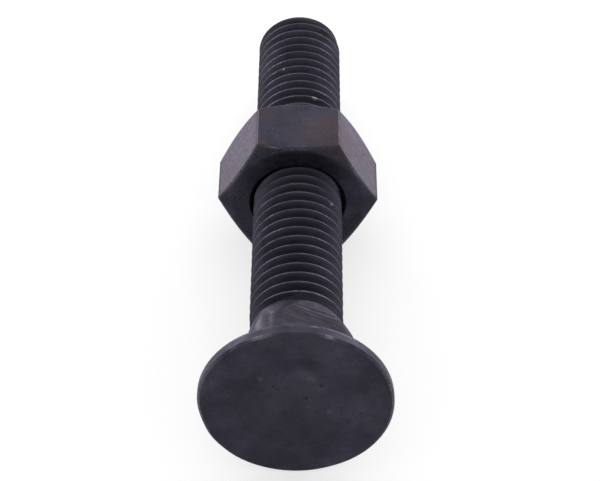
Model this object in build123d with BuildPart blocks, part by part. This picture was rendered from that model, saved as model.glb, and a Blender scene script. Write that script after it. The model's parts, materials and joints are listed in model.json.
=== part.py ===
from build123d import *
import math
import os

# Plow bolt M12 x 75 with a hex nut run part of the way down its thread, both forged steel.
# Both lie on a flat surface at z = 0. The bolt's axis runs along +Y from head to tip, and
# slopes down a little because the rim of the head is wider than the nut that props it.
# Distances called "from the face" are measured along the axis from the flat face of the head.

# Bolt, in millimetres and degrees
bolt_length = 75.0
head_diameter = 24.0
head_rim_height = 1.45
head_rim_rounding = 0.3
head_cone_angle = 90.0
neck_across_flats = 11.7
neck_edge_rounding = 0.9
neck_square_length = 10.8
neck_square_end_diameter = 13.5
neck_length = 12.8
neck_end_diameter = 11.2
neck_taper_angle = 24.0
neck_turn = 24.0
thread_diameter = 11.9
blank_diameter = 10.86
relief_length = 0.6
point_chamfer = 1.75

# Nut
nut_across_flats = 18.8
nut_edge_rounding = 0.4
nut_thickness = 10.0
nut_face_diameter = 18.0
near_chamfer_angle = 24.0
far_chamfer_angle = 43.0
nut_countersink_width = 0.525
nut_place = 37.8
nut_clearance = 0.05

# Slope of the axis: the rounded far edge of the head's rim and the far end of the nut's
# lower flat touch the surface together.
cone_half_angle = math.radians(head_cone_angle / 2)
rim_reach = head_rim_height - head_rim_rounding * math.tan(cone_half_angle / 2)
rim_core_radius = head_diameter / 2 - head_rim_rounding
nut_far_slope = math.tan(math.radians(far_chamfer_angle))
nut_edge_drop = (nut_across_flats - nut_face_diameter) / 2 * nut_far_slope
prop_run = nut_place + nut_thickness - nut_edge_drop - rim_reach
prop_rise = rim_core_radius - nut_across_flats / 2
slope = math.atan2(prop_rise, prop_run) + math.asin(head_rim_rounding / math.hypot(prop_run, prop_rise))
run, fall = math.cos(slope), math.sin(slope)

# Centre of the head's face: its height puts the lowest point at z = 0, and its place along Y
# puts the middle of the overall length at y = 0.
tip_radius = thread_diameter / 2 - point_chamfer
face_height = rim_reach * fall + rim_core_radius * run + head_rim_rounding
back_reach = rim_core_radius * fall + head_rim_rounding * (1 - run)
front_reach = bolt_length * run + tip_radius * fall
face_centre = (0, (back_reach - front_reach) / 2, face_height)

# Planes: cross_section looks along the axis, lengthwise holds the axis as its own Y.
cross_section = Plane(origin=face_centre, x_dir=(1, 0, 0), z_dir=(0, run, -fall))
lengthwise = Plane(origin=face_centre, x_dir=(1, 0, 0), z_dir=(0, fall, run))
bolt_axis = Axis(origin=face_centre, direction=(0, run, -fall))

# Square neck, turned on the axis as it was forged. Its long edges run out on a cone, between
# which the flats show. Past the square, the flats and the cone close in to a round end.
neck_taper = math.tan(math.radians(neck_taper_angle))
neck_root_diameter = neck_square_end_diameter + 2 * neck_square_length * neck_taper
neck_blend_length = neck_length - neck_square_length
flat_closing_angle = math.degrees(math.atan2((neck_across_flats - neck_end_diameter) / 2, neck_blend_length))
with BuildPart() as neck:
    with BuildSketch(cross_section.offset(head_rim_height)) as neck_square:
        Rectangle(neck_across_flats, neck_across_flats, rotation=neck_turn)
        fillet(neck_square.vertices(), neck_edge_rounding)
    extrude(amount=neck_square_length - head_rim_height)
    extrude(neck.faces().sort_by(bolt_axis)[-1], amount=neck_blend_length, taper=flat_closing_angle)
    with BuildSketch(lengthwise) as neck_outline:
        with BuildLine():
            Polyline(
                (0, 0),
                (neck_root_diameter / 2, 0),
                (neck_square_end_diameter / 2, neck_square_length),
                (neck_end_diameter / 2, neck_length),
                (0, neck_length),
                close=True,
            )
        make_face()
    revolve(axis=bolt_axis, mode=Mode.INTERSECT)

# Bolt: flat face, narrow rim, cone, relief at the neck, shank and chamfered point
cone_end = head_rim_height + (head_diameter - blank_diameter) / 2 / math.tan(cone_half_angle)
thread_start = neck_length + relief_length
with BuildPart() as plow_bolt:
    with BuildSketch(lengthwise) as bolt_outline:
        with BuildLine():
            Polyline(
                (0, 0),
                (head_diameter / 2, 0),
                (head_diameter / 2, head_rim_height),
                (blank_diameter / 2, cone_end),
                (blank_diameter / 2, thread_start),
                (thread_diameter / 2, thread_start + (thread_diameter - blank_diameter) / 2),
                (thread_diameter / 2, bolt_length - point_chamfer),
                (tip_radius, bolt_length),
                (0, bolt_length),
                close=True,
            )
        make_face()
        fillet(bolt_outline.vertices().group_by(Axis.X)[-1], head_rim_rounding)
    revolve(axis=bolt_axis)
    add(neck.part)
plow_bolt.part.label = "plow_bolt"

# Nut: hexagon with a flat down, both ends cut back on a cone, the far end more than the near one
# that faces the head. The bore has countersunk mouths.
nut_corner_radius = nut_across_flats / 2 / math.cos(math.radians(30))
nut_chamfer_width = nut_corner_radius - nut_face_diameter / 2
near_corner_drop = nut_chamfer_width * math.tan(math.radians(near_chamfer_angle))
far_corner_drop = nut_chamfer_width * nut_far_slope
nut_bore_radius = thread_diameter / 2 + nut_clearance
with BuildPart() as hex_nut:
    with BuildSketch(cross_section.offset(nut_place)) as hexagon:
        RegularPolygon(nut_across_flats / 2, 6, major_radius=False)
        fillet(hexagon.vertices(), nut_edge_rounding)
    extrude(amount=nut_thickness)
    with BuildSketch(lengthwise) as nut_outline:
        with BuildLine():
            Polyline(
                (0, nut_place),
                (nut_face_diameter / 2, nut_place),
                (nut_corner_radius, nut_place + near_corner_drop),
                (nut_corner_radius, nut_place + nut_thickness - far_corner_drop),
                (nut_face_diameter / 2, nut_place + nut_thickness),
                (0, nut_place + nut_thickness),
                close=True,
            )
        make_face()
    revolve(axis=bolt_axis, mode=Mode.INTERSECT)
    with BuildSketch(cross_section.offset(nut_place)):
        Circle(nut_bore_radius)
    extrude(amount=nut_thickness, mode=Mode.SUBTRACT)
    bore_mouths = hex_nut.edges().filter_by(GeomType.CIRCLE).group_by(SortBy.RADIUS)[0]
    chamfer(bore_mouths, nut_countersink_width)
hex_nut.part.label = "hex_nut"

os.makedirs("parts", exist_ok=True)
for piece in (plow_bolt, hex_nut):
    export_step(piece.part, f"parts/{piece.part.label}.step")
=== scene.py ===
"""Dresses a plow bolt and its hex nut, lying on a pale floor.

Both pieces are closed surfaces round the bolt's axis, whose radius is a formula of the place along
it and of the angle round it. Lengths in the formulas are millimetres; meshes are in metres.
"""

import json
import math

import bmesh
import bpy
import numpy as np
from bpy.props import FloatProperty, FloatVectorProperty, PointerProperty
from mathutils import Matrix, Vector


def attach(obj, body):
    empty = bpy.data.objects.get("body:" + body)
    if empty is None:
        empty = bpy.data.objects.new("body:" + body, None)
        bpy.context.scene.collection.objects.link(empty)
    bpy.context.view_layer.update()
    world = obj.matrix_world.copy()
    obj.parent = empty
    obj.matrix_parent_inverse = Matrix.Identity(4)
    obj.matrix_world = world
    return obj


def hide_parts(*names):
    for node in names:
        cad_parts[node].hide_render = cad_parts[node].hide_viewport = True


bl_info = {
    "name": "Plow Bolt and Hex Nut",
    "version": (1, 0, 0),
    "blender": (4, 5, 0),
    "location": "3D View > Sidebar > Plow Bolt",
    "description": "Makes a black oxide plow bolt with its hex nut and a plain stage",
    "category": "Object",
}

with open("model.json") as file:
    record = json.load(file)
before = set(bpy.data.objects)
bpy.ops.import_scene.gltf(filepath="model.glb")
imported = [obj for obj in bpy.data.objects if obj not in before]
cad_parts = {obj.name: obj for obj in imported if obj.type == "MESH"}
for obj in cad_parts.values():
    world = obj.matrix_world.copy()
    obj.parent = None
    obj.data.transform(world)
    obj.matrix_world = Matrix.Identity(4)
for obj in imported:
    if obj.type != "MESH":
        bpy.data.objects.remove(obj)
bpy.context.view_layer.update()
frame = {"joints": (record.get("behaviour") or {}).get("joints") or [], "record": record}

# What the frame gives: the bolt's axis from head to tip, and the middle of the head's face.
MM = 0.001
MOUNTS = {mount["name"]: mount for mount in frame["record"]["mounts"]}
AXIS = np.array(frame["joints"][0]["axis"])
SIDE = np.array((1.0, 0.0, 0.0))
UPPER = np.cross(AXIS, -SIDE)
FACE_CENTRE = np.array(MOUNTS["head_face"]["pos_m"]) / MM
NUT_PLACE = float(np.dot(np.array(MOUNTS["nut_face"]["pos_m"]) / MM - FACE_CENTRE, AXIS))


class BoltSizes(bpy.types.PropertyGroup):
    """Sizes of the bolt."""

    head_diameter: FloatProperty(
        name="Head diameter", description="Across the rim of the head",
        default=24.0 * MM, unit="LENGTH", precision=5)
    rim_height: FloatProperty(
        name="Rim height", description="Straight rim between the head's face and its cone",
        default=1.45 * MM, unit="LENGTH", precision=5)
    neck_width: FloatProperty(
        name="Neck width", description="Across the flats of the square neck",
        default=11.7 * MM, unit="LENGTH", precision=5)
    neck_length: FloatProperty(
        name="Neck length", description="From the head's face to the round end of the neck",
        default=12.8 * MM, unit="LENGTH", precision=5)
    neck_turn: FloatProperty(
        name="Neck turn", description="Angle of the neck's first flat on the axis",
        default=math.radians(-24.0), subtype="ANGLE")
    thread_diameter: FloatProperty(
        name="Thread diameter", description="Over the crests of the thread",
        default=11.9 * MM, unit="LENGTH", precision=5)
    thread_pitch: FloatProperty(
        name="Thread pitch", description="From one crest to the next",
        default=1.75 * MM, unit="LENGTH", precision=5)
    thread_depth: FloatProperty(
        name="Thread depth", description="From a crest down to the root",
        default=1.0 * MM, unit="LENGTH", precision=5)
    length: FloatProperty(
        name="Length", description="From the head's face to the tip",
        default=75.0 * MM, unit="LENGTH", precision=5)


class NutSizes(bpy.types.PropertyGroup):
    """Sizes of the nut."""

    across_flats: FloatProperty(
        name="Across flats", description="Width of the hexagon between two flats",
        default=18.8 * MM, unit="LENGTH", precision=5)
    thickness: FloatProperty(
        name="Thickness", description="From one face of the nut to the other",
        default=10.0 * MM, unit="LENGTH", precision=5)
    face_diameter: FloatProperty(
        name="Face diameter", description="Flat ring inside each chamfer",
        default=18.0 * MM, unit="LENGTH", precision=5)
    mouth_diameter: FloatProperty(
        name="Mouth diameter", description="Wide end of the countersink at each end of the bore",
        default=13.05 * MM, unit="LENGTH", precision=5)


class SteelLooks(bpy.types.PropertyGroup):
    """Colours of the black oxide finish."""

    tone: FloatVectorProperty(
        name="Oxide", description="Colour of the sound black oxide",
        default=(0.056, 0.054, 0.077), size=3, min=0.0, max=1.0, subtype="COLOR")
    dark_tone: FloatVectorProperty(
        name="Dark oxide", description="Colour of the darkest mottling",
        default=(0.029, 0.028, 0.040), size=3, min=0.0, max=1.0, subtype="COLOR")
    # also the colour of the painted highlights on the nut's flats, the neck, the rim's sides and some
    # crests
    worn_and_highlight_tone: FloatVectorProperty(
        name="Worn edge", description="Colour where edges are rubbed bright",
        default=(0.195, 0.183, 0.215), size=3, min=0.0, max=1.0, subtype="COLOR")
    film_tone: FloatVectorProperty(
        name="Oil film", description="Colour of the greyer patches of the oxide",
        default=(0.047, 0.046, 0.059), size=3, min=0.0, max=1.0, subtype="COLOR")
    # also the colour of the painted shade in the thread's grooves and on the neck
    grime_and_shade_tone: FloatVectorProperty(
        name="Grime", description="Colour of the dark deposit in grooves",
        default=(0.011, 0.0115, 0.014), size=3, min=0.0, max=1.0, subtype="COLOR")
    rust_tone: FloatVectorProperty(
        name="Rust", description="Colour of the traces of brown rust",
        default=(0.065, 0.045, 0.036), size=3, min=0.0, max=1.0, subtype="COLOR")
    roughness: FloatProperty(
        name="Roughness", description="Roughness of the sound oxide",
        default=0.5, min=0.0, max=1.0, subtype="FACTOR")


class StageLooks(bpy.types.PropertyGroup):
    """Floor, lamps and camera."""

    floor_colour: FloatVectorProperty(
        name="Floor", description="Colour of the floor",
        default=(0.5, 0.5, 0.5), size=3, min=0.0, max=1.0, subtype="COLOR")
    lamp_power: FloatProperty(
        name="Overhead lamp", description="Power of the large lamp over the bolt",
        default=1.4, min=0.0, unit="POWER")
    side_power: FloatProperty(
        name="Side lamps", description="Power of each of the two lamps beside the bolt",
        default=0.8, min=0.0, unit="POWER")
    sky_strength: FloatProperty(
        name="Surroundings", description="Brightness of the surroundings as they light the scene",
        default=0.55, min=0.0)
    lens: FloatProperty(
        name="Lens", description="Focal length on a sensor 36 mm wide",
        default=117.84, min=1.0, unit="CAMERA")


# Shapes: formulas over whole arrays

def ease(x, reach):
    """A ramp with a rounded foot: 0 below -reach, x above reach, and a parabola between them."""
    bend = (x + reach) ** 2 / (4 * reach)
    return np.where(x <= -reach, 0.0, np.where(x >= reach, x, bend))


def lower_of(a, b, reach):
    """The lower of two surfaces, rounded where they cross."""
    return a - ease(a - b, reach)


def upper_of(a, b, reach):
    """The higher of two surfaces, with a fillet where they cross."""
    return a + ease(b - a, reach)


def polygon_radius(angle, sides, across_flats, edge_radius, turn):
    """Radius of a regular polygon with rounded edges, at an angle round its axis.

    A flat is at half the width across flats, over the cosine of the angle from its middle. Near an
    edge, the radius reaches the far side of a circle of the edge's radius, which touches both flats.
    """
    half = math.pi / sides
    from_flat = np.abs((angle - turn + half) % (2 * half) - half)
    from_edge = half - from_flat
    flat = across_flats / 2 / np.cos(from_flat)
    centre = (across_flats / 2 - edge_radius) / math.cos(half)
    inside = np.maximum(edge_radius**2 - (centre * np.sin(from_edge)) ** 2, 0.0)
    edge = centre * np.cos(from_edge) + np.sqrt(inside)
    touch = half - np.arctan((across_flats / 2 - edge_radius) * math.tan(half) / (across_flats / 2))
    return np.where(from_edge < touch, edge, flat)


def thread_drop(place, pitch, crest_width, depth):
    """How far a thread lies below its crests, at an axial place counted from a crest's middle.

    The crest is a narrow flat, each flank falls at 60 degrees, and the root is cut off flat at the
    thread's depth. Both bends are rounded.
    """
    off = np.abs((place + pitch / 2) % pitch - pitch / 2)
    fall = math.tan(math.radians(60)) * ease(off - crest_width / 2, CREST_ROUNDING)
    return depth - ease(depth - fall, ROOT_ROUNDING)


def helix_rows(start, end, pitch, crest_place):
    """Axial places, at angle 0, of the mesh rows that follow the helix from start to end.

    Each turn has the same rows: at the crest, at both bends of each flank and at the root. A row
    that starts outside the threaded length is kept for the part of its turn that lies inside.
    """
    half = np.array(THREAD_STEPS) * pitch
    turn = np.concatenate((half, pitch - half[-2:0:-1]))
    first = math.floor((start - crest_place) / pitch)
    last = math.ceil((end + pitch - crest_place) / pitch)
    rows = (crest_place + pitch * np.arange(first, last + 1)[:, None] + turn[None, :]).ravel()
    rows = rows[(rows > start) & (rows < end + pitch)]
    return np.concatenate(((start,), rows, (end + pitch,)))


def rounded(before, corner, after, reach):
    """Points round a corner of an outline, as a parabola that leaves each side at reach from it.

    One more point beside each end keeps the shading of the flat sides flat.
    """
    towards = before - corner
    onwards = after - corner
    towards = towards / np.linalg.norm(towards, axis=-1, keepdims=True) * reach
    onwards = onwards / np.linalg.norm(onwards, axis=-1, keepdims=True) * reach
    steps = np.linspace(0.0, 1.0, CORNER_STEPS)[:, None, None]
    bend = corner + towards * (1 - steps) ** 2 + onwards * steps**2
    return np.concatenate(((corner + 1.15 * towards)[None], bend, (corner + 1.15 * onwards)[None]))


def outline_rows(corners, reaches):
    """Rows of (place, radius) along an outline, with every corner that has a reach rounded.

    Each corner is an array with one (place, radius) for each angle round the axis.
    """
    rows = [corners[0][None]]
    for index in range(1, len(corners) - 1):
        if reaches[index]:
            trio = corners[index - 1], corners[index], corners[index + 1]
            rows.append(rounded(*trio, reaches[index]))
        else:
            rows.append(corners[index][None])
    rows.append(corners[-1][None])
    return np.concatenate(rows)


def bell(angle, at, width):
    """1 at one angle, falling to 0 beside it. The middle and the width are in degrees."""
    return np.exp(-((angle - math.radians(at)) / math.radians(width)) ** 2)


def at_every(angle, place, radius):
    """One outline corner for every angle, as an array of (place, radius)."""
    return np.stack(np.broadcast_arrays(place + 0 * angle, radius + 0 * angle), axis=-1)


def stacked(bands):
    """Places, radii, and wear with painted light and shade, of a whole surface, from the bands of rows
    that follow each other.
    """
    return [np.concatenate(part) for part in zip(*bands)]


def skin(name, angle, place, radius, wear_and_shading):
    """A closed mesh from a grid of places along the axis and radii, with rows by columns.

    A point is the head face's centre, plus the place along the axis, plus the radius times the
    cosine of the angle to the side and its sine upwards. Points that coincide are welded, which
    closes the seam, the ends and the first and last turn of a thread. Wear and shading is above 0
    where the steel is rubbed bright and where highlights are painted, and below 0 where it is
    grimy and where shade is painted.
    """
    place, radius, wear_and_shading = np.broadcast_arrays(place, radius, wear_and_shading)
    across = np.cos(angle)[:, None] * SIDE + np.sin(angle)[:, None] * UPPER
    points = FACE_CENTRE + place[..., None] * AXIS + radius[..., None] * across
    rows, columns = place.shape
    index = np.arange(rows * columns).reshape(rows, columns)
    quads = np.stack((index[:-1, :-1], index[1:, :-1], index[1:, 1:], index[:-1, 1:]), axis=-1)
    mesh = bpy.data.meshes.new(name)
    mesh.from_pydata(points.reshape(-1, 3) * MM, [], quads.reshape(-1, 4).tolist())
    mesh.attributes.new("wear_and_shading", "FLOAT", "POINT").data.foreach_set("value", wear_and_shading.ravel())
    shape = bmesh.new()
    shape.from_mesh(mesh)
    bmesh.ops.remove_doubles(shape, verts=shape.verts, dist=WELD * MM)
    bmesh.ops.dissolve_degenerate(shape, edges=shape.edges, dist=WELD * MM)
    shape.to_mesh(mesh)
    shape.free()
    mesh.shade_smooth()
    mesh.set_sharp_from_angle(angle=math.radians(40))
    piece = bpy.data.objects.new(name, mesh)
    bpy.context.scene.collection.objects.link(piece)
    return piece


# Small forms of the head, in millimetres. A spot or flat is its angle, strength or depth, and width.
FACE_EDGE = 11.0
DULL_RADIUS = 7.6          # the face is darker inside it
RING_RADIUS = 7.8
RING_UNEVENNESS = 0.08
RING_DEPTH = 0.06
RING_WIDTH = 0.16
HEAD_OUT_OF_ROUND = 0.02
RIM_ROUNDING = 0.3
RIM_FLATS = ((195, 0.20, 14), (220, 0.09, 10), (291, 0.05, 12))
RIM_SPOTS = ((112, 1.3, 5.5), (128, 0.4, 2), (71, 1.0, 3), (62, 0.3, 2), (43, 0.3, 3),
             (150, 0.2, 4))
RIM_FAR_SPOTS = (94, 85, 79, 72, 60, 117)     # angles only, as all have one width
RIM_FAR_WIDTH = 1.3

# Scuffs on the head's face: to the right and up from its middle, size and strength, then dark pits.
HEAD_SCUFFS = ((0.9, 5.3, 1.4, 0.16), (1.9, 4.4, 0.9, 0.22), (-4.2, 4.3, 0.6, 0.2),
               (4.2, -1.1, 0.6, 0.25), (1.6, -0.3, 0.5, 0.15), (2.9, 2.5, 1.2, 0.12))
HEAD_PITS = ((3.1, 3.3, 0.4), (-2.6, 3.1, 0.4), (-2.2, 2.6, 0.3), (1.3, 1.1, 0.35), (2.6, -1.4, 0.4))

# The neck. Places along the axis count from the head's face. A corner or patch is its angle and width.
NECK_EDGE_RADIUS = 1.6
NECK_SQUARE_LENGTH = 10.8
NECK_SQUARE_END_RADIUS = 6.75
NECK_END_RADIUS = 5.6
NECK_TAPER = math.radians(24.0)
NECK_ROUNDING = 0.12       # where the flats meet the slender cone
NECK_SOFT_CORNER = (125, 28)
NECK_SOFTNESS = 0.1        # added to that rounding at the soft corner
NECK_DIP_DEPTH = 0.06
NECK_DIP_WIDTH = 0.15
# a painted highlight on the neck's upper left flat
NECK_LIT_PATCH = (141, 13)
CONE_FILLET = 0.25         # where the neck meets the head's cone
RELIEF_END = 12.95

# The thread and the point
CREST_PLACE = 71.58        # a crest's middle on the upper side
FIRST_CREST = 14.2
CREST_WIDTH = 0.22
CREST_ROUNDING = 0.05
CREST_UNEVENNESS = 0.012
ROOT_ROUNDING = 0.16
THREAD_STEPS = (0.0, 0.05, 0.08, 0.11, 0.24, 0.37, 0.41, 0.45, 0.5)   # in pitches from a crest
BLANK_RADIUS = 5.43
RUN_OUT = 0.7              # the thread grows to its full height over this length at the relief
POINT_FADE = 1.45          # and fades over this length, which ends at the margin from the tip
POINT_MARGIN = 0.65
POINT_CHAMFER = 1.65
POINT_ROUNDING = 0.06
TIP_GAP = 0.012            # the surface ends this far short of the bolt's length
# painted shade in the thread's grooves
GROOVE_SHADE = 0.65        # strength on the upper side

# Lighter crests: the angle and width of the painted highlight beside the nut and at the neck, and of the
# rubbed patch at the tip.
CREST_HIGHLIGHT_BY_NUT = (95, 45)
FIRST_CREST_HIGHLIGHT = (88, 30)
RUBBED_LAST = (90, 60)
RUBBED_LAST_REACH = 2.1    # from the tip

# Bright nicks in the thread: place along the axis, angle in degrees and size.
THREAD_NICKS = ((23.3, 86.5, 0.4), (54.15, 68, 0.5), (19.1, 144.5, 0.35), (33.2, 40, 0.35),
                (60.9, 112, 0.3))

# The nut
NUT_NEAR_CHAMFER = math.radians(24.0)
NUT_FAR_CHAMFER = math.radians(36.0)
NUT_FAR_WIDENING = 0.12    # added to the far chamfer's width, so that it is longer at the flats
NUT_EDGE_RADIUS = 0.3
NUT_WORN_REACH = 0.55      # of the near chamfer's worn edge
NUT_WORN_DEPTH = 1.6       # of the rows that hold that edge
NUT_FLAT_START = 1.7       # and of the first row of the flats
NUT_FACE_MARGIN = 0.4      # of the row inside the near face's edge
NUT_MOUTH_DEPTH = 0.4
NUT_CLEARANCE = 0.06
NUT_THREAD_DEPTH = 0.72
NUT_SCRATCHES = ((110, 1.0, 6), (33, 0.7, 9), (155, 0.7, 18))    # angle, strength and width

# Patches on the nut: place from its near face, angle, radius, size, strength and colour.
NUT_PATCHES = (
    (1.0, 119, 10.7, 1.6, 0.9, "rust_tone"),
    (4.0, 64, 10.4, 5.5, 0.9, "rust_tone"),
    (0.5, 55, 10.6, 2.4, 0.8, "rust_tone"),
    (5.5, 107, 9.7, 4.2, 0.8, "dark_tone"),
    (8.0, 117, 10.4, 2.4, 0.6, "rust_tone"),
    (5.0, 84, 9.45, 3.2, 0.13, "worn_and_highlight_tone"),
)

# The meshes
CORNER_STEPS = 5
BOLT_COLUMNS = 112
COLUMN_CROWDING = 0.12
NECK_ROW_STEP = 0.14
WELD = 0.0008

# Finish and stage, with places and sizes in metres
STEEL_TINT = (0.96, 0.88, 1.0, 1.0)
FLOOR_REACH = 4.0
FLOOR_DROP = 0.00002
FLOOR_GLOW = 0.62
OVERHEAD_PLACE = (0.0, 0.30, 0.50)
OVERHEAD_SIZE = (0.85, 0.6)
SIDE_PLACE = (0.26, 0.34, 0.06)
SIDE_TARGET = (0, 0, 0.012)
SIDE_SIZE = (0.22, 0.1)

# The photograph's view: angle of the line of sight to the bolt's axis, the camera's roll, and how
# far the camera stands from the head's face, along and across that line.
VIEW_ANGLE = math.radians(41.126)
VIEW_ROLL = math.radians(0.57)
VIEW_DISTANCE = 237.15
VIEW_ABOVE = 19.816
VIEW_RIGHT = 0.36


def head_bands(angle, head, rim):
    """Bands of the head's face and of its rim.

    The face is flat, with a faint forged ring: a bell across the ring's radius. The rim is straight
    between two rounded edges.
    """
    radius = np.array((0.0, 2.5, 5.0, 7.0, *np.linspace(7.3, 8.3, 9), 9.0, 10.5))[:, None]
    from_ring = radius - RING_RADIUS - RING_UNEVENNESS * np.sin(3 * angle)
    ring = RING_DEPTH * np.exp(-(from_ring / RING_WIDTH) ** 2)
    # the face is darker inside DULL_RADIUS and towards its bottom
    face_darkening = -0.12 / (1 + np.exp((radius - DULL_RADIUS) / 0.25)) - 0.2 * bell(angle, 270, 50)

    corners = [
        at_every(angle, 0.0, FACE_EDGE),
        at_every(angle, 0.0, head),
        at_every(angle, rim, head),
        at_every(angle, rim + 0.5, head - 0.5),
    ]
    rows = outline_rows(corners, (0, RIM_ROUNDING, RIM_ROUNDING, 0))
    near_edge = slice(2, 2 + CORNER_STEPS)
    far_edge = slice(4 + CORNER_STEPS, 4 + 2 * CORNER_STEPS)
    # the rim's left and right sides are painted lighter, a painted highlight
    wear_and_shading = 0.75 * np.cos(angle) ** 6 - 0.15 + 0 * rows[..., 0]
    wear_and_shading[:2] = -0.05
    wear_and_shading[near_edge] += 0.2 + sum(bright * bell(angle, at, width) for at, bright, width in RIM_SPOTS)
    wear_and_shading[far_edge] += 0.9 * sum(bell(angle, at, RIM_FAR_WIDTH) for at in RIM_FAR_SPOTS)
    # darker streaks on the rim's upper half
    upper_streaks = np.clip(np.sin(13 * angle + 1) * np.sin(7 * angle), 0, 1) * np.clip(np.sin(angle), 0, 1)
    wear_and_shading[2:] -= 0.4 * upper_streaks
    return [(ring, radius + 0 * angle, face_darkening), (rows[..., 0], rows[..., 1], wear_and_shading)]


def neck_band(angle, sizes, head):
    """Band of the head's cone, the neck and the relief.

    The cone closes in at 45 degrees. The neck is a square with rounded edges, cut back by a slender
    cone, and past the square both close in to a round end. A faint dip marks the square's end. The
    relief has the blank's radius.
    """
    rim = sizes.rim_height / MM
    width = sizes.neck_width / MM
    end = sizes.neck_length / MM
    edge = sizes.neck_turn + math.pi / 4
    place = np.concatenate((np.arange(rim + 0.65, end - 0.1, NECK_ROW_STEP),
                            np.linspace(end - 0.04, RELIEF_END - 0.02, 4)))[:, None]
    cone = head - (place - rim)
    blend = np.clip((place - NECK_SQUARE_LENGTH) / (end - NECK_SQUARE_LENGTH), 0, 1.2)
    narrow = width + blend * (2 * NECK_END_RADIUS - width)
    square = polygon_radius(angle, 4, narrow, NECK_EDGE_RADIUS, sizes.neck_turn)
    closing = NECK_SQUARE_END_RADIUS + blend * (NECK_END_RADIUS - NECK_SQUARE_END_RADIUS)
    running_out = NECK_SQUARE_END_RADIUS + (NECK_SQUARE_LENGTH - place) * math.tan(NECK_TAPER)
    taper = np.where(blend > 0, closing, running_out)
    rounding = NECK_ROUNDING + NECK_SOFTNESS * bell(angle, *NECK_SOFT_CORNER)
    neck = lower_of(square, taper, rounding)
    neck = neck - NECK_DIP_DEPTH * np.exp(-((place - NECK_SQUARE_LENGTH) / NECK_DIP_WIDTH) ** 2)
    neck = neck - ease(place - end, 0.1) * 3
    radius = upper_of(upper_of(cone, neck, CONE_FILLET), BLANK_RADIUS, 0.05)

    # darker streaks, partly painted shade: strongest on top, less on the edges and below; and a painted
    # highlight on one patch of the upper left flat
    on_square = np.clip((NECK_SQUARE_LENGTH + 0.9 - place) / 1.2, 0, 1)
    lit_patch = bell(angle, *NECK_LIT_PATCH) * on_square
    streaks = np.random.default_rng(5).uniform(-1, 1, place.shape) * np.cos(2.5 * angle + place) ** 2
    mottled = 0.3 * np.sin(3.1 * place + 4 * angle) * np.sin(5.3 * place - 6 * angle)
    streaks_and_shade = np.clip(0.88 + 0.45 * streaks + mottled, 0, 1)
    streaks_and_shade = streaks_and_shade * (1 - 0.6 * np.cos(2 * (angle - edge) + 0.11) ** 40)
    streaks_and_shade = streaks_and_shade * (0.35 + 0.65 * np.clip(1.4 * np.sin(angle), 0, 1))
    on_neck = np.clip((neck - cone) / 0.8, 0, 1)
    wear_and_shading = (1.35 * lit_patch - streaks_and_shade * (1 - lit_patch)) * on_neck - 0.1 * (1 - on_neck)
    return place + 0 * radius, radius, wear_and_shading


def shank_band(angle, sizes, length, tip):
    """Band of the threaded shank and its point.

    The radius is the crest's less the thread's drop, which follows a right-hand helix: the rows
    slip back by one pitch in each turn of the angle. The thread grows out of the relief and fades
    near the tip, and the point cuts all that lies outside a cone at 45 degrees.
    """
    crest = sizes.thread_diameter / MM / 2
    pitch = sizes.thread_pitch / MM
    crest_line = CREST_PLACE + pitch / 4
    rows = helix_rows(RELIEF_END, length, pitch, crest_line)[:, None]
    place = np.clip(rows - pitch * angle / (2 * math.pi), RELIEF_END, length)
    drop = thread_drop(rows - crest_line, pitch, CREST_WIDTH, sizes.thread_depth / MM)
    grown = np.clip(np.minimum((place - RELIEF_END) / RUN_OUT,
                               (length - POINT_MARGIN - place) / POINT_FADE), 0, 1)
    grown = grown * grown * (3 - 2 * grown)
    waves = np.sin(3 * angle + 1.7 * place) * np.sin(5 * angle - 0.9 * place)
    uneven = CREST_UNEVENNESS * waves
    radius = BLANK_RADIUS + (crest - BLANK_RADIUS - drop + uneven * (drop < 0.3)) * grown
    radius = np.minimum(radius, crest)
    radius = lower_of(radius, tip + length - place, POINT_ROUNDING)

    # the grooves are darkened as painted shade, most on top, less past the nut, and less at the sides
    # and below; the crests have painted highlights beside the nut and at the first crest, and are rubbed
    # at the tip
    groove_shade = GROOVE_SHADE * (1.65 * np.clip(np.sin(angle), 0, 1) ** 2 - 0.65)
    groove_shade = groove_shade - 0.25 * np.clip((place - NUT_PLACE - 8) / 3, 0, 1)
    scraped = np.sin(7 * angle + 2.3 * place) * np.sin(4 * angle - 1.1 * place)
    # a painted highlight on the crests just before the nut, where the nut shades them
    highlight_by_nut = np.exp(-((place - NUT_PLACE + 3) / 3) ** 2) * bell(angle, *CREST_HIGHLIGHT_BY_NUT)
    crest_wear_and_highlight = 0.04 + 0.5 * np.clip(scraped - 0.35, 0, 1) + 0.5 * highlight_by_nut
    wear_and_shading = crest_wear_and_highlight * np.exp(-drop / 0.03) * grown - np.clip(drop / 0.3, 0, 1) * groove_shade
    past_last = np.clip((place - length + RUBBED_LAST_REACH) / 0.3, 0, 1)
    last_crest = past_last * bell(angle, *RUBBED_LAST)
    # a painted highlight along the top of the first crest
    first_crest_highlight = np.exp(-((place - FIRST_CREST) / 0.7) ** 2) * bell(angle, *FIRST_CREST_HIGHLIGHT)
    wear_and_shading = wear_and_shading + 0.6 * first_crest_highlight * np.exp(-drop / 0.08) + 0.6 * last_crest
    return place, radius, wear_and_shading


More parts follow.
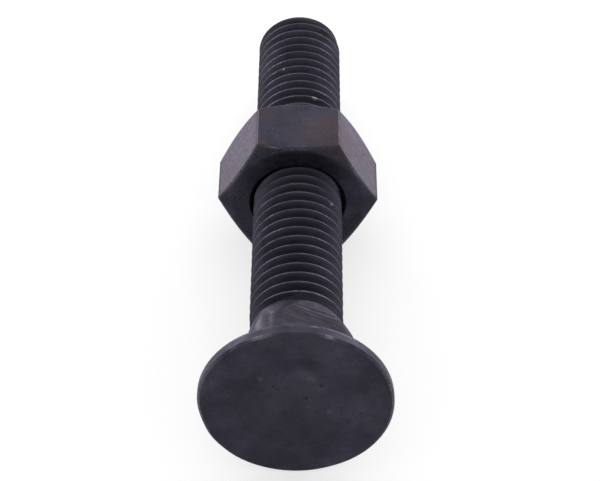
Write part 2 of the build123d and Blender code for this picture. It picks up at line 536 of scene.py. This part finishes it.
def bolt_grid(sizes):
    """Angles, places, radii, and wear with painted light and shade, of the whole bolt, from the face's
    centre to the tip's.

    The angles stand closer together near the neck's four edges. The head is a little out of round.
    """
    even = np.linspace(0.0, 2 * math.pi, BOLT_COLUMNS + 1)
    edge = sizes.neck_turn + math.pi / 4
    shift = COLUMN_CROWDING * np.sin(4 * (even - edge))
    angle = even - shift - COLUMN_CROWDING * math.sin(4 * edge)
    flattened = sum(depth * bell(angle, at, width) for at, depth, width in RIM_FLATS)
    head = sizes.head_diameter / MM / 2 - HEAD_OUT_OF_ROUND * (1 - np.cos(angle)) - flattened
    length = sizes.length / MM - TIP_GAP
    tip = sizes.thread_diameter / MM / 2 - POINT_CHAMFER
    end_radius = np.array((tip, tip - POINT_ROUNDING, tip - 2 * POINT_ROUNDING, tip / 2, 0.0))
    end_radius = end_radius[:, None] + 0 * angle
    return angle, *stacked((
        *head_bands(angle, head, sizes.rim_height / MM),
        neck_band(angle, sizes, head),
        shank_band(angle, sizes, length, tip),
        (length + 0 * end_radius, end_radius, 0 * end_radius),
    ))


def nut_grid(bolt, sizes):
    """Angles, places, radii, and wear with painted light and shade, of the nut, once round its section
    from the near mouth.

    The hexagon's radius at each angle sets where the chamfer's cone meets the flats. The bore has
    the bolt's own thread moved outwards by the clearance, its ridges cut off short of the bolt's
    roots, and opens on a cone at 45 degrees at each end.
    """
    sixth = math.pi / 3
    near_edge = np.radians(np.linspace(-1.35, 1.35, 9))
    between = np.radians(np.linspace(3.5, 56.5, 19))
    angle = (np.concatenate((near_edge, between))[None, :] + sixth * np.arange(6)[:, None]).ravel()
    angle = np.append(angle, angle[0] + 2 * math.pi)
    pitch = bolt.thread_pitch / MM
    crest = bolt.thread_diameter / MM / 2
    start = NUT_PLACE
    end = NUT_PLACE + sizes.thickness / MM
    face = sizes.face_diameter / MM / 2
    mouth = sizes.mouth_diameter / MM / 2
    hexagon = polygon_radius(angle, 6, sizes.across_flats / MM, NUT_EDGE_RADIUS, sixth / 2)
    far = (hexagon - face + NUT_FAR_WIDENING) * math.tan(NUT_FAR_CHAMFER)

    # near face, and its worn edge
    mouth_corners = [
        at_every(angle, start + NUT_MOUTH_DEPTH, mouth - NUT_MOUTH_DEPTH),
        at_every(angle, start, mouth),
        at_every(angle, start, face - NUT_FACE_MARGIN),
    ]
    mouth_rows = outline_rows(mouth_corners, (0, 0.1, 0))
    inward = np.concatenate((np.linspace(0.0, 0.3, 7), np.linspace(0.38, NUT_WORN_DEPTH, 14)))[:, None]
    cone = face + inward / math.tan(NUT_NEAR_CHAMFER)
    worn_radius = lower_of(hexagon, cone, NUT_WORN_REACH)
    worn_place = start + inward + 0 * hexagon

    # scratches along that edge, and a painted highlight that makes every flat but the upper one lighter
    marks = (bright * bell(angle, at, width) for at, bright, width in NUT_SCRATCHES)
    scratched = sum(marks, 0.15)
    highlight_and_wear = 0.75 * (np.abs(angle - math.pi / 2) > sixth / 2) * ((angle - near_edge[0]) % sixth > 0.06)
    on_flat = np.clip((cone - hexagon) / 0.3, 0, 1)
    worn_and_lit = scratched * np.exp(-((hexagon - cone) / 0.22) ** 2) + highlight_and_wear * on_flat

    # far edge and far face
    corners = [
        at_every(angle, start + NUT_FLAT_START, hexagon),
        at_every(angle, end - far, hexagon),
        at_every(angle, end, face),
        at_every(angle, end, mouth),
        at_every(angle, end - NUT_MOUTH_DEPTH, mouth - NUT_MOUTH_DEPTH),
    ]
    far_rows = outline_rows(corners, (0, 0.12, 0.15, 0.1, 0))
    far_wear_and_highlight = np.zeros(far_rows.shape[:2])
    # the same painted highlight on the far ends of the flats
    far_wear_and_highlight[:2] = highlight_and_wear
    far_wear_and_highlight[2:2 + CORNER_STEPS] = 0.6

    # tapped bore
    crest_line = CREST_PLACE + pitch / 4
    first, last = start + NUT_MOUTH_DEPTH, end - NUT_MOUTH_DEPTH
    rows = helix_rows(first, last, pitch, crest_line)[::-1, None]
    bore_place = np.clip(rows - pitch * angle / (2 * math.pi), first, last)
    drop = thread_drop(rows - crest_line, pitch, CREST_WIDTH, bolt.thread_depth / MM)
    bore = crest + NUT_CLEARANCE - lower_of(drop, NUT_THREAD_DEPTH, 0.05)
    sink = np.maximum(mouth - (bore_place - start), mouth - (end - bore_place))
    bore_radius = np.maximum(bore, sink)

    return angle, *stacked((
        (mouth_rows[..., 0], mouth_rows[..., 1], np.zeros(mouth_rows.shape[:2])),
        (worn_place, worn_radius, worn_and_lit),
        (far_rows[..., 0], far_rows[..., 1], far_wear_and_highlight),
        (bore_place, bore_radius, np.zeros(bore_radius.shape)),
    ))


# Materials

def add_node(tree, kind, column, row, **settings):
    """A node at a column and row of the tree, with its named settings and input values."""
    node = tree.nodes.new(kind)
    node.location = (220 * column, -260 * row)
    for name, value in settings.items():
        if name in node.inputs:
            node.inputs[name].default_value = value
        else:
            setattr(node, name, value)
    return node


def mix_colours(tree, column, row, factor, first, second):
    """The colour that goes from the first to the second as the factor goes from 0 to 1."""
    node = add_node(tree, "ShaderNodeMix", column, row, data_type="RGBA")
    for socket, value in ((node.inputs[0], factor), (node.inputs[6], first), (node.inputs[7], second)):
        if isinstance(value, bpy.types.NodeSocket):
            tree.links.new(value, socket)
        else:
            socket.default_value = value
    return node.outputs[2]


def window(tree, column, row, value, low, high, bottom=0.0, top=1.0):
    """A value that goes from bottom to top as the input goes from low to high, and is clamped."""
    node = add_node(tree, "ShaderNodeMapRange", column, row)
    tree.links.new(value, node.inputs[0])
    for socket, number in zip(node.inputs[1:5], (low, high, bottom, top)):
        socket.default_value = number
    return node.outputs[0]


def combine(tree, column, row, operation, first, second):
    """Arithmetic on two values, each a socket or a number, with the result kept from 0 to 1."""
    node = add_node(tree, "ShaderNodeMath", column, row, operation=operation, use_clamp=True)
    for socket, value in zip(node.inputs, (first, second)):
        if isinstance(value, bpy.types.NodeSocket):
            tree.links.new(value, socket)
        else:
            socket.default_value = value
    return node.outputs[0]


def grain(tree, place, column, row, size, detail, roughness=0.5):
    """Noise whose lumps are about size millimetres wide."""
    node = add_node(tree, "ShaderNodeTexNoise", column, row, Scale=1 / (size * MM),
                    Detail=detail, Roughness=roughness)
    tree.links.new(place, node.inputs["Vector"])
    return node.outputs[0]


def spot(tree, place, column, row, centre, size):
    """1 at a point of the axis frame (place, angle, radius), falling to 0 at size millimetres."""
    along, angle, radius = centre
    across = math.cos(angle) * SIDE + math.sin(angle) * UPPER
    point = (FACE_CENTRE + along * AXIS + radius * across) * MM
    gap = add_node(tree, "ShaderNodeVectorMath", column, row, operation="DISTANCE")
    tree.links.new(place, gap.inputs[0])
    gap.inputs[1].default_value = tuple(point)
    return window(tree, column + 1, row, gap.outputs["Value"], size * MM, 0.0)


def oxide_steel(name, looks, spots, grit, lightness=1.0):
    """Black oxide on steel: mottled, finely pitted, bright on worn edges and painted highlights, dark
    where shade is painted, with traces of rust.

    A spot is its centre in the axis frame, its size, its strength and its colour. The grit is how
    strongly the finest light and dark specks show, and the lightness scales the whole colour.
    """
    material = bpy.data.materials.new(name)
    material.use_nodes = True
    tree = material.node_tree
    shader = tree.nodes["Principled BSDF"]
    shader.location = (1800, 0)
    shader.inputs["Metallic"].default_value = 1.0
    shader.inputs["Specular Tint"].default_value = STEEL_TINT
    place = add_node(tree, "ShaderNodeTexCoord", 0, 0).outputs["Object"]
    clouds = grain(tree, place, 1, 0, 5.0, 3.0)
    mottle = grain(tree, place, 1, 1, 0.9, 4.0, 0.6)
    pits = grain(tree, place, 1, 2, 0.28, 3.0, 0.6)
    specks = grain(tree, place, 1, 3, 0.17, 2.0, 0.5)
    wear_and_shading = add_node(tree, "ShaderNodeAttribute", 1, 4, attribute_name="wear_and_shading").outputs["Fac"]

    tone = mix_colours(tree, 3, 0, window(tree, 2, 0, clouds, 0.35, 0.65),
                       (*looks.dark_tone, 1.0), (*looks.tone, 1.0))
    tone = mix_colours(tree, 4, 0, window(tree, 2, 1, mottle, 0.62, 0.35, 0.0, 0.7),
                       tone, (*looks.dark_tone, 1.0))
    patches = grain(tree, place, 1, 5, 3.2, 2.0)
    tone = mix_colours(tree, 5, 0, window(tree, 2, 5, patches, 0.48, 0.7, 0.0, 0.8),
                       tone, (*looks.film_tone, 1.0))
    light_specks = window(tree, 2, 3, specks, 0.64, 0.76, 0.0, grit)
    tone = mix_colours(tree, 6, 0, light_specks, tone, (*looks.worn_and_highlight_tone, 1.0))
    dark_specks = window(tree, 2, 7, specks, 0.42, 0.3, 0.0, 2 * grit)
    tone = mix_colours(tree, 6, 1, dark_specks, tone, (*looks.grime_and_shade_tone, 1.0))
    # below 0 the grime tone comes in: streaky grime, the darker parts of the head, and painted shade in
    # the grooves and on the neck's top
    dirt_and_shade = window(tree, 3, 5, wear_and_shading, 0.0, -1.0)
    tone = mix_colours(tree, 7, 0, dirt_and_shade, tone, (*looks.grime_and_shade_tone, 1.0))
    # above 0 the worn tone comes in: rubbed edges and crests, and painted highlights on the nut's flats,
    # the neck, the rim's sides and some crests
    highlight_and_wear = combine(tree, 3, 4, "MULTIPLY", wear_and_shading, window(tree, 2, 4, pits, 0.3, 0.7))
    tone = mix_colours(tree, 8, 0, highlight_and_wear, tone, (*looks.worn_and_highlight_tone, 1.0))
    rough = window(tree, 3, 2, mottle, 0.3, 0.7, looks.roughness - 0.07, looks.roughness + 0.08)
    for number, (centre, size, strength, colour) in enumerate(spots):
        mask = spot(tree, place, 1, 7 + number, centre, size)
        mask = combine(tree, 3, 7 + number, "MULTIPLY", mask,
                       window(tree, 2, 6, pits, 0.38, 0.58, 0.15 * strength, strength))
        tone = mix_colours(tree, 9 + number, 0, mask, tone, (*colour, 1.0))
    if lightness < 1:
        tone = mix_colours(tree, 9 + len(spots), 0, 1 - lightness, tone, (0.0, 0.0, 0.0, 1.0))
    tree.links.new(tone, shader.inputs["Base Color"])
    tree.links.new(rough, shader.inputs["Roughness"])

    height = combine(tree, 4, 3, "MULTIPLY", pits, 0.6)
    height = combine(tree, 5, 3, "ADD", height, combine(tree, 4, 4, "MULTIPLY", mottle, 0.4))
    bump = add_node(tree, "ShaderNodeBump", 6, 3, Strength=0.35, Distance=0.05 * MM)
    tree.links.new(height, bump.inputs["Height"])
    tree.links.new(bump.outputs["Normal"], shader.inputs["Normal"])
    return material


def finish_piece(piece, material, node, body):
    """Gives a piece its material, and its place in the frame as the stand-in of a CAD node."""
    piece.data.materials.append(material)
    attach(piece, body)
    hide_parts(node)


class PLOWBOLT_OT_bolt(bpy.types.Operator):
    """Make the bolt: head, square neck, threaded shank and point in one surface"""

    bl_idname = "plow_bolt.bolt"
    bl_label = "Make bolt"

    def execute(self, context):
        scene = context.scene
        piece = skin("bolt_surface", *bolt_grid(scene.bolt_sizes))
        looks = scene.steel_looks
        spots = [((0.0, math.atan2(up, right), math.hypot(right, up)), size, strength, looks.worn_and_highlight_tone)
                 for right, up, size, strength in HEAD_SCUFFS]
        spots += [((0.0, math.atan2(up, right), math.hypot(right, up)), size, 1.0, looks.grime_and_shade_tone)
                  for right, up, size in HEAD_PITS]
        crest = scene.bolt_sizes.thread_diameter / MM / 2
        spots += [((along, math.radians(angle), crest), size, 2.0, looks.worn_and_highlight_tone)
                  for along, angle, size in THREAD_NICKS]
        material = oxide_steel("bolt_black_oxide", looks, spots, 0.2)
        finish_piece(piece, material, "plow_bolt", "bolt")
        return {"FINISHED"}


class PLOWBOLT_OT_nut(bpy.types.Operator):
    """Make the hex nut, with chamfered faces and a tapped bore"""

    bl_idname = "plow_bolt.nut"
    bl_label = "Make nut"

    def execute(self, context):
        scene = context.scene
        piece = skin("nut_surface", *nut_grid(scene.bolt_sizes, scene.nut_sizes))
        looks = scene.steel_looks
        spots = [((NUT_PLACE + along, math.radians(angle), radius), size, strength, getattr(looks, tone))
                 for along, angle, radius, size, strength, tone in NUT_PATCHES]
        material = oxide_steel("nut_black_oxide", looks, spots, 0.4, 0.85)
        finish_piece(piece, material, "hex_nut", "nut")
        return {"FINISHED"}


def add_lamp(name, place, target, size, power):
    """A rectangular area lamp that faces the target."""
    data = bpy.data.lights.new(name, "AREA")
    data.shape = "RECTANGLE"
    data.size, data.size_y = size
    data.energy = power
    lamp = bpy.data.objects.new(name, data)
    lamp.location = place
    lamp.rotation_euler = (Vector(target) - Vector(place)).to_track_quat("-Z", "Y").to_euler()
    bpy.context.scene.collection.objects.link(lamp)


def seen_directly(tree, column, row):
    """1 for rays from the camera, and for rays that left metal or glass; 0 for all others."""
    path = add_node(tree, "ShaderNodeLightPath", column, row)
    either = combine(tree, column + 1, row, "MAXIMUM", path.outputs["Is Camera Ray"],
                     path.outputs["Is Glossy Ray"])
    return combine(tree, column + 2, row, "MAXIMUM", either, path.outputs["Is Transmission Ray"])


def make_floor(looks):
    """A wide pale floor just under the bolt's lowest point, which keeps a soft shadow."""
    mesh = bpy.data.meshes.new("floor")
    corners = np.array(((-1, -1, 0), (1, -1, 0), (1, 1, 0), (-1, 1, 0))) * FLOOR_REACH
    mesh.from_pydata(corners - np.array((0, 0, FLOOR_DROP)), [], [(0, 1, 2, 3)])
    floor = bpy.data.objects.new("floor", mesh)
    bpy.context.scene.collection.objects.link(floor)
    material = bpy.data.materials.new("pale_floor")
    material.use_nodes = True
    tree = material.node_tree
    tree.nodes.clear()
    diffuse = add_node(tree, "ShaderNodeBsdfDiffuse", 3, 0, Color=(*looks.floor_colour, 1.0))
    glow = add_node(tree, "ShaderNodeEmission", 3, 1)
    strength = combine(tree, 3, 2, "MULTIPLY", seen_directly(tree, 0, 2), FLOOR_GLOW)
    tree.links.new(strength, glow.inputs["Strength"])
    both = add_node(tree, "ShaderNodeAddShader", 4, 0)
    tree.links.new(diffuse.outputs[0], both.inputs[0])
    tree.links.new(glow.outputs[0], both.inputs[1])
    output = add_node(tree, "ShaderNodeOutputMaterial", 5, 0)
    tree.links.new(both.outputs[0], output.inputs["Surface"])
    mesh.materials.append(material)


def make_surroundings(looks):
    """White surroundings for the camera and for reflections, and a plain soft light for the rest."""
    world = bpy.data.worlds.new("surroundings")
    bpy.context.scene.world = world
    world.use_nodes = True
    tree = world.node_tree
    background = tree.nodes["Background"]
    strength = window(tree, 4, 0, seen_directly(tree, 0, 0), 0.0, 1.0, looks.sky_strength, 1.0)
    background.inputs["Color"].default_value = (1.0, 1.0, 1.0, 1.0)
    tree.links.new(strength, background.inputs["Strength"])


def make_camera(looks):
    """The camera looks down on the bolt from beyond its head, and the axis runs away from it."""
    forward = math.cos(VIEW_ANGLE) * AXIS - math.sin(VIEW_ANGLE) * UPPER
    up = math.sin(VIEW_ANGLE) * AXIS + math.cos(VIEW_ANGLE) * UPPER
    place = FACE_CENTRE + VIEW_RIGHT * SIDE + VIEW_ABOVE * up - VIEW_DISTANCE * forward
    right = math.cos(VIEW_ROLL) * SIDE + math.sin(VIEW_ROLL) * up
    level = math.cos(VIEW_ROLL) * up - math.sin(VIEW_ROLL) * SIDE
    turn = Matrix(np.stack((right, level, -forward), axis=1).tolist()).to_4x4()
    data = bpy.data.cameras.new("camera")
    data.lens = looks.lens
    data.sensor_width = 36.0
    camera = bpy.data.objects.new("camera", data)
    camera.matrix_world = Matrix.Translation(place * MM) @ turn
    bpy.context.scene.collection.objects.link(camera)
    bpy.context.scene.camera = camera


class PLOWBOLT_OT_stage(bpy.types.Operator):
    """Make the floor, the lamps, the surroundings and the camera"""

    bl_idname = "plow_bolt.stage"
    bl_label = "Make stage"

    def execute(self, context):
        looks = context.scene.stage_looks
        make_floor(looks)
        make_surroundings(looks)
        add_lamp("overhead_lamp", OVERHEAD_PLACE, (0, 0, 0), OVERHEAD_SIZE, looks.lamp_power)
        for name, side in (("left_lamp", -1), ("right_lamp", 1)):
            place = (side * SIDE_PLACE[0], *SIDE_PLACE[1:])
            add_lamp(name, place, SIDE_TARGET, SIDE_SIZE, looks.side_power)
        make_camera(looks)
        context.scene.view_settings.view_transform = "Standard"
        return {"FINISHED"}


class PLOWBOLT_PT_panel(bpy.types.Panel):
    """The pieces and the stage, with their sizes and colours."""

    bl_idname = "PLOWBOLT_PT_panel"
    bl_label = "Plow Bolt"
    bl_space_type = "VIEW_3D"
    bl_region_type = "UI"
    bl_category = "Plow Bolt"

    def draw(self, context):
        scene = context.scene
        groups = ((scene.bolt_sizes, PLOWBOLT_OT_bolt), (scene.nut_sizes, PLOWBOLT_OT_nut),
                  (scene.steel_looks, None), (scene.stage_looks, PLOWBOLT_OT_stage))
        for group, maker in groups:
            box = self.layout.box()
            for name in group.__annotations__:
                box.prop(group, name)
            if maker:
                box.operator(maker.bl_idname)


GROUPS = {"bolt_sizes": BoltSizes, "nut_sizes": NutSizes, "steel_looks": SteelLooks,
          "stage_looks": StageLooks}
MAKERS = (PLOWBOLT_OT_bolt, PLOWBOLT_OT_nut, PLOWBOLT_OT_stage)


def register():
    for name, group in GROUPS.items():
        bpy.utils.register_class(group)
        setattr(bpy.types.Scene, name, PointerProperty(type=group))
    for maker in (*MAKERS, PLOWBOLT_PT_panel):
        bpy.utils.register_class(maker)


def unregister():
    for maker in (PLOWBOLT_PT_panel, *reversed(MAKERS)):
        bpy.utils.unregister_class(maker)
    for name, group in GROUPS.items():
        delattr(bpy.types.Scene, name)
        bpy.utils.unregister_class(group)


def main():
    register()
    bpy.ops.plow_bolt.bolt()
    bpy.ops.plow_bolt.nut()
    bpy.ops.plow_bolt.stage()


if __name__ == "__main__":
    main()
